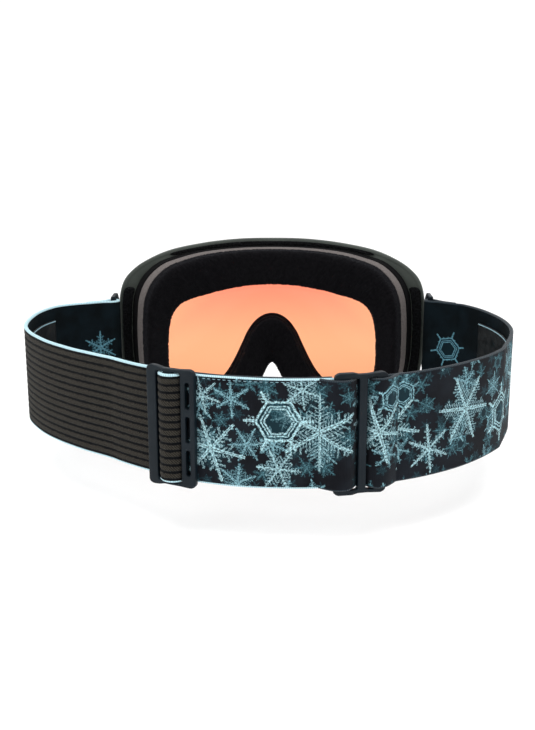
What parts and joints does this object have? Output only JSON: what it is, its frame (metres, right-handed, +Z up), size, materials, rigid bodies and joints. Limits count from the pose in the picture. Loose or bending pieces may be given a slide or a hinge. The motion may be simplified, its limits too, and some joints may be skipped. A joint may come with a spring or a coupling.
{
  "type": "ski goggles",
  "caption": "Snow goggles with a curved double lens, layered face foam, hinged side arms and a wide elastic strap in a ribbed and a printed piece joined by ladder sliders.",
  "frame": {"origin": "middle of the underside of the whole object's box, with the strap held open in its worn loop", "axes": "+Z up, +Y out through the lens, +X towards the wearer's right"},
  "size_m": [0.2546, 0.2366, 0.1065],
  "materials": {
    "frame_plastic": "satin moulded olive grey, fine grain",
    "outer_lens_tint": "coral tinted polycarbonate with a mirror coat",
    "inner_lens_clear": "pale anti-fog lens",
    "open_cell_foam": "open-cell black foam",
    "black_foam": "black face foam",
    "grey_foam": "grey face foam",
    "fleece": "brushed black fleece",
    "slate_plastic": "satin moulded slate",
    "pin_steel": "turned pin",
    "ribbed_webbing": "elastic webbing with dark ribs and pale blue selvage",
    "printed_webbing": "elastic webbing printed with ice crystals",
    "grip_silicone": "black silicone grip"
  },
  "bodies": {
    "frame": {"frame_shell": "frame_plastic", "inner_lens": "inner_lens_clear", "lens_gasket": "open_cell_foam", "outer_lens": "outer_lens_tint", "face_foam_base": "black_foam", "face_foam_middle": "grey_foam", "face_foam_fleece": "fleece", "vent_foam_top": "open_cell_foam", "vent_foam_left": "open_cell_foam", "vent_foam_right": "open_cell_foam", "vent_foam_bottom_left": "open_cell_foam", "vent_foam_bottom_right": "open_cell_foam", "vent_screen_top": "open_cell_foam", "vent_screen_bottom_left": "open_cell_foam", "vent_screen_bottom_right": "open_cell_foam", "strap_left": "ribbed_webbing", "strap_right": "printed_webbing", "strap_return": "printed_webbing", "grip_strip_left": "grip_silicone", "grip_strip_right": "grip_silicone", "hinge_pin_left": "pin_steel", "hinge_pin_right": "pin_steel"},
    "arm_left": {"side_arm_left": "slate_plastic", "strap_end_left": "ribbed_webbing"},
    "arm_right": {"side_arm_right": "slate_plastic", "strap_end_right": "printed_webbing"},
    "slider_left_body": {"slider_left": "slate_plastic"},
    "slider_right_body": {"slider_right": "slate_plastic"}
  },
  "joints": [
    {"name": "arm_left_hinge", "type": "hinge", "parent": "frame", "child": "arm_left", "pos_m": [-0.09056, 0.08548, 0.0505], "axis": [0, 0, -1], "range_deg": [0, 10]},
    {"name": "arm_right_hinge", "type": "hinge", "parent": "frame", "child": "arm_right", "pos_m": [0.09664, 0.08548, 0.0505], "axis": [0, 0, 1], "range_deg": [0, 10]},
    {"name": "slider_left_travel", "type": "hinge", "parent": "frame", "child": "slider_left_body", "pos_m": [0.01304, 0.00248, 0.0505], "axis": [0, 0, 1], "range_deg": [-4, 4]},
    {"name": "slider_right_travel", "type": "hinge", "parent": "frame", "child": "slider_right_body", "pos_m": [0.01304, 0.00248, 0.0505], "axis": [0, 0, 1], "range_deg": [-8, 8]}
  ],
  "couplings": [
    {"joint": "slider_left_travel", "follows": "slider_right_travel", "ratio": 0.5}
  ]
}
